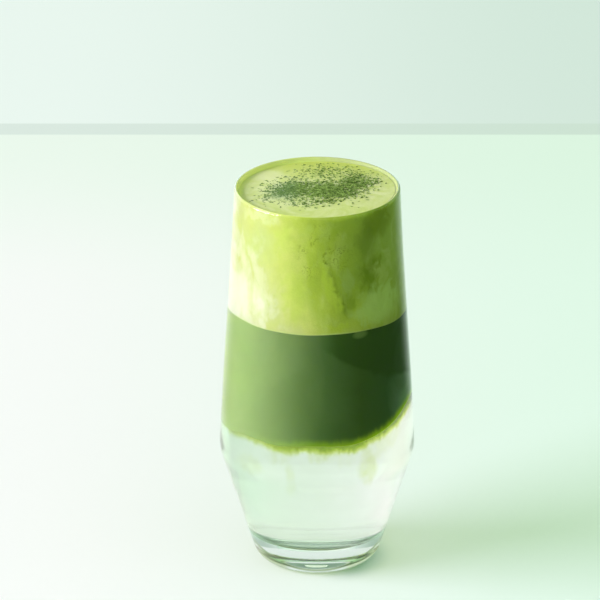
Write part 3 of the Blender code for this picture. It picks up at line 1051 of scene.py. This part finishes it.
def climbing_film(colour, x, y, z, wall_share):
    """The thin film of foam that climbs the wall and laps over the rim, painted lighter on the left
    and darker on the right as painted light and shade.
    """
    inside = calc("MAXIMUM", band(wall_share, *FILM_WALL), band(z, *LAPPED))
    film = times(band(wall_share, *FILM_STARTS), inside, band(y, *FILM_FRONT))
    film_light_and_shade = blend(band(x, *FILM_TURN), *FILM_LIT_AND_SHADED)
    return blend(times(film, FILM_SHARE), colour, film_light_and_shade)


def whipped_foam():
    material, tree, shader = new_material(
        "whipped_foam", Roughness=0.75, Specular_IOR_Level=0.2, Subsurface_Weight=0.35,
        Subsurface_Radius=(1.0, 1.1, 0.35), Subsurface_Scale=0.004,
    )
    place, x, y, z = object_place(tree)
    lip = band(attribute(tree, "above_line"), *LIP_HEIGHT)
    lip = times(lip, band(x, *LIP_SHARE))
    side = blend(lip, foam_side(place, x, y, z), LIP_COLOUR)
    on_top = band(facing_up(tree), *TOP_NORMAL)
    wall_share = attribute(tree, "wall_share")
    colour = blend(on_top, side, foam_surface(place, x, y, wall_share))
    colour = climbing_film(colour, x, y, z, wall_share)
    froth = use_group(FROTH, place, Scale=1300.0)
    colour = blend(times(froth["Open"], OPEN_SHARE), colour, OPEN_COLOUR)
    feed(shader, "Base Color", colour)
    bump(shader, froth["Height"], strength=0.25, distance=0.0002)
    return material


def foam_outline():
    """The foam's outline from the middle of its top: the surface, the film up the wall and over
    the inner half of the rim, and back down the wall to the foam's underside."""
    wall = [(drink_radius(z), z) for z in heights(RIM_CENTRE_HEIGHT, FOAM_LINE, FOAM_ROWS)]
    reach = RIM_RADIUS - RIM_WALL - FILM_FOOT
    surface = [(share * reach, FOAM_TOP + foam_dome(share * reach)) for share in RINGS[::-1]]
    foot_height = surface[-1][1]
    climb = []
    for step in range(1, FILM_STEPS):
        share = step / FILM_STEPS
        rise = (RIM_CENTRE_HEIGHT - foot_height) * share**FILM_CLIMB
        out = (FILM_FOOT - FILM_SKIN) * share**FILM_LEAN
        climb.append((reach + out, foot_height + rise))
    rim_centre = (RIM_RADIUS - RIM_ROUND, RIM_CENTRE_HEIGHT)
    over = arc(rim_centre, RIM_ROUND + FILM_SKIN, math.pi, FILM_END, FILM_SEGMENTS)
    under = arc(rim_centre, RIM_ROUND - WALL_REACH, FILM_END, math.pi, FILM_SEGMENTS)
    base = rings_at(wall[-1][0], FOAM_LINE)
    middle = (0.0, FOAM_TOP + FOAM_DOME)
    return [middle] + surface + climb + over + under[:-1] + wall + base + [(0.0, FOAM_LINE)]


def foam_cap():
    form = turned(foam_outline())
    above = form.verts.layers.float.new("above_line")
    beside = form.verts.layers.float.new("wall_share")
    for vertex in form.verts:
        point = vertex.co
        radius = math.hypot(point.x, point.y)
        share = radius / (RIM_RADIUS - RIM_WALL)
        on_top = point.z > FOAM_TOP - FILM_SKIN and radius < RIM_RADIUS - RIM_WALL - FILM_SKIN
        if on_top:
            swell = foam_swell(point, share)
            still_level = (RIM_CENTRE_HEIGHT - point.z) / (RIM_CENTRE_HEIGHT - FOAM_TOP)
            point.z += foam_tilt(point.x, point.y) * min(max(still_level, 0.0), 1.0)
            point.z += swell
        elif point.z < FOAM_TOP:
            shape_to_lines(point, FOAM_TOP, FOAM_LINE, level, foam_line_rise)
        vertex[above] = point.z - FOAM_LINE - foam_line_rise(front_angle(point), share)
        vertex[beside] = share
    made = piece("foam_cap", form, whipped_foam(), crease=60)
    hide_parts("foam_layer")


# The powder
POWDER_COLOURS = ((0.065, 0.12, 0.018), (0.25, 0.37, 0.09))
POWDER_LEFT = (-0.004, -0.012, 0.0, 0.5)
POWDER_LEFT_COLOUR = (0.13, 0.23, 0.09)


def matcha_powder():
    material, tree, shader = new_material("matcha_powder", Roughness=0.9, Specular_IOR_Level=0.1)
    place, x, _, _ = object_place(tree)
    tone = drift(place, scale=900.0, height_scale=1.0, warp=0.2)
    colour = blend(tone, *POWDER_COLOURS)
    colour = blend(band(x, *POWDER_LEFT), colour, POWDER_LEFT_COLOUR)
    feed(shader, "Base Color", colour)
    bump(shader, tone, strength=0.4, distance=0.0001)
    return material


def powder_places(seed, count, reach, largest, smallest):
    draw = random.Random(seed)
    shares = [share for *_, share in POWDER_LOBES]
    found = []
    while len(found) < count:
        x, y, spread_x, spread_y, _ = draw.choices(POWDER_LOBES, shares)[0]
        place = Vector((draw.gauss(x, spread_x), draw.gauss(y, spread_y)))
        turn = Euler([draw.uniform(0, math.pi) for _ in range(3)])
        size = largest + (smallest - largest) * len(found) / count
        if place.length < reach:
            found.append((place, size, turn))
    return found


def scattered(name, places, material, flatness, sink, rough, stretch):
    """Grains of powder lying on the foam, joined as one piece."""
    whole = bmesh.new()
    draw = random.Random(len(places))
    for start in range(0, len(places), GRAIN_BATCH):
        batch = bmesh.new()
        for place, size, turn in places[start:start + GRAIN_BATCH]:
            made = bmesh.ops.create_icosphere(batch, subdivisions=1, radius=size)["verts"]
            for vertex in made:
                vertex.co *= 1 + draw.uniform(-rough, rough)
            bmesh.ops.rotate(batch, verts=made, matrix=turn.to_matrix())
            bmesh.ops.scale(batch, verts=made, vec=(stretch, 1.0, flatness))
            spin = Matrix.Rotation(draw.uniform(0, math.pi), 3, "Z")
            bmesh.ops.rotate(batch, verts=made, matrix=spin)
            surface = FOAM_TOP + foam_dome(place.length) + foam_tilt(place.x, place.y)
            bmesh.ops.translate(batch, verts=made, vec=(place.x, place.y, surface - sink * size))
        mesh = bpy.data.meshes.new("batch")
        batch.to_mesh(mesh)
        batch.free()
        whole.from_mesh(mesh)
        bpy.data.meshes.remove(mesh)
    piece(name, whole, material, crease=30)


def powder():
    material = matcha_powder()
    clumps = powder_places(POWDER_SEED, CLUMP_COUNT, POWDER_REACH, CLUMP_LARGEST, CLUMP_SMALLEST)
    scattered("powder_clumps", clumps, material, **CLUMP_FORM)
    grains = powder_places(GRAIN_SEED, GRAIN_COUNT, POWDER_REACH, GRAIN_LARGEST, GRAIN_SMALLEST)
    scattered("powder_grains", grains, material, **GRAIN_FORM)


# The floor: a table in front and a backdrop beyond the seam, each with light of its own
FLOOR_REACH = 6.0
FLOOR_DROP = 0.0001
FLOOR_SEAM = (0.4268, 0.4285)
FLOOR_COLOURS = ((0.465, 0.437, 0.620), (0.42, 0.26, 0.42))  # table, backdrop
FLOOR_SIDES = (-0.12, 0.12)
TABLE_NEAR = ((0.43, 0.475, 0.27), (0.300, 0.500, 0.200))  # left, right
TABLE_AWAY = ((0.345, 0.466, 0.20), (0.280, 0.480, 0.165))
TABLE_DEPTH = (0.25, 0.425)
BACKDROP_FOOT = ((0.270, 0.530, 0.310), (0.215, 0.505, 0.250))
BACKDROP = ((0.391, 0.646, 0.433), (0.260, 0.545, 0.310))
BACKDROP_TURN = (0.4388, 0.4408)
# A painted shadow beside the foot: less of the floor's own light there, so a deeper green
CONTACT_SHADOW_REACH = (0.032, 0.018)  # the deeper green beside the foot, by distance from the glass's axis
CONTACT_SHADOW_LEFT = (-0.004, 0.018)
CONTACT_SHADOW_CURVE = 1.5
CONTACT_SHADOW_SHARE = 0.85
CONTACT_SHADOW_LIGHT = (0.02, 0.18, 0.03)
# Painted shade on the floor under the glass: a darker colour and less of its own light
UNDER_GLASS = (0.90 * FOOT_RADIUS, 0.70 * FOOT_RADIUS, 0.0, 0.7)
UNDER_GLASS_SHADE_COLOUR = (0.14, 0.20, 0.05)
UNDER_GLASS_SHADE_LIGHT = (0.05, 0.09, 0.01)
# Painted shade in the glass's reflections: only to mirrored rays, the floor in front and at its sides
# is dark
DIM_AHEAD = (0.97, 0.50)  # the glass mirrors a dim floor in front and at its sides
DIM_REACH = (0.145, 0.195)
DIM_REFLECTION_COLOUR = (0.02, 0.02, 0.02)


def floor_surface():
    material, tree, shader = new_material(
        "pale_floor", Roughness=0.7, Specular_IOR_Level=0.1, Emission_Strength=1.0,
    )
    place, x, y, _ = object_place(tree)
    span = add(tree, "ShaderNodeVectorMath", {0: place}, operation="LENGTH").outputs["Value"]
    beyond = band(y, *FLOOR_SEAM)
    under = band(span, *UNDER_GLASS)
    path = add(tree, "ShaderNodeLightPath").outputs
    mirrored = calc("SUBTRACT", path["Is Glossy Ray"], path["Is Transmission Ray"], clamp=True)
    ahead = band(calc("DIVIDE", y, span), *DIM_AHEAD)
    dim = times(mirrored, ahead, band(span, *DIM_REACH))
    colour = blend(beyond, *FLOOR_COLOURS)
    # Painted shade in the reflections
    colour = blend(dim, colour, DIM_REFLECTION_COLOUR)
    # Painted shade under the glass
    colour = blend(under, colour, UNDER_GLASS_SHADE_COLOUR)
    feed(shader, "Base Color", colour)
    aside = band(x, *FLOOR_SIDES)
    near, distant, foot, high = (
        blend(aside, *pair) for pair in (TABLE_NEAR, TABLE_AWAY, BACKDROP_FOOT, BACKDROP)
    )
    table = blend(band(y, *TABLE_DEPTH), near, distant)
    backdrop = blend(band(y, *BACKDROP_TURN), foot, high)
    glow = blend(beyond, table, backdrop)
    # Painted shadow beside the foot
    beside = times(band(span, *CONTACT_SHADOW_REACH), band(x, *CONTACT_SHADOW_LEFT))
    beside = times(calc("POWER", beside, CONTACT_SHADOW_CURVE), CONTACT_SHADOW_SHARE)
    glow = blend(beside, glow, CONTACT_SHADOW_LIGHT)
    glow = blend(under, glow, UNDER_GLASS_SHADE_LIGHT)
    glow = blend(dim, glow, NO_LIGHT)
    feed(shader, "Emission Color", glow)
    return material


def pale_floor():
    form = bmesh.new()
    bmesh.ops.create_grid(form, x_segments=1, y_segments=1, size=FLOOR_REACH)
    bmesh.ops.translate(form, verts=form.verts, vec=(0, 0, -FLOOR_DROP))
    object_of("floor", form, floor_surface())


# Light and camera
SKY_STRENGTH = 0.88
SKY_COLOUR = (0.86, 0.98, 0.91)
OVERHEAD = (0.43, 0.49)  # height of the direction
OVERHEAD_COLOUR = (0.27, 0.43, 0.31)
FILL_SIDE = (0.66, -0.66, 0.35)
FILL_STRENGTH = (0.2, 0.9, 0.30, 0.85)
CAMERA_PITCH = math.radians(22.51)
CAMERA_DISTANCE = 5.2794
AIM_X = -0.006463
AIM_RAISE = 0.026985  # along the picture's own height, from the middle of the glass


def sky():
    """The sky lights surfaces from the fill side, and looks pale and even in glass."""
    world = bpy.data.worlds.new("studio")
    scene.world = world
    world.use_nodes = True
    tree = world.node_tree
    shown = tree.nodes["Background"]
    depth = add(tree, "ShaderNodeLightPath").outputs["Diffuse Depth"]
    diffuse = calc("GREATER_THAN", depth, 0.5)
    toward = add(tree, "ShaderNodeTexCoord").outputs["Generated"]
    side = add(tree, "ShaderNodeVectorMath", {0: toward, 1: FILL_SIDE}, operation="DOT_PRODUCT")
    fill = band(side.outputs["Value"], *FILL_STRENGTH)
    strength = moved(SKY_STRENGTH, diffuse, calc("SUBTRACT", fill, SKY_STRENGTH))
    feed(shown, "Strength", strength)
    upward = add(tree, "ShaderNodeSeparateXYZ", {"Vector": toward}).outputs["Z"]
    overhead = times(band(upward, *OVERHEAD), calc("SUBTRACT", 1.0, diffuse))
    feed(shown, "Color", blend(overhead, SKY_COLOUR, OVERHEAD_COLOUR))


def area_light(name, place, aim, width, height, power, colour):
    lamp = bpy.data.lights.new(name, "AREA")
    lamp.shape = "RECTANGLE"
    lamp.size = width
    lamp.size_y = height
    lamp.energy = power
    lamp.color = colour
    made = bpy.data.objects.new(name, lamp)
    made.location = place
    made.rotation_euler = (Vector(aim) - Vector(place)).to_track_quat("-Z", "Y").to_euler()
    scene.collection.objects.link(made)


def view():
    camera = bpy.data.cameras.new("camera")
    camera.sensor_width = 36.0
    camera.lens = 840.0
    camera.clip_start = 0.1
    camera.clip_end = 50.0
    forward = Vector((0, math.cos(CAMERA_PITCH), -math.sin(CAMERA_PITCH)))
    upward = Vector((0, math.sin(CAMERA_PITCH), math.cos(CAMERA_PITCH)))
    aim = Vector((AIM_X, 0, GLASS_HEIGHT / 2)) + upward * AIM_RAISE
    made = bpy.data.objects.new("camera", camera)
    made.location = aim - forward * CAMERA_DISTANCE
    made.rotation_euler = forward.to_track_quat("-Z", "Y").to_euler()
    scene.collection.objects.link(made)
    scene.camera = made
    scene.view_settings.view_transform = "Standard"


tumbler()
pale_drink()
green_tea()
fringe()
foam_cap()
powder()
pale_floor()
sky()
area_light(
    "window", place=(-2.75, -0.75, 1.00), aim=(0, 0, 0.07), width=2.4, height=1.7, power=205.0,
    colour=(1.0, 1.0, 0.96),
)
view()
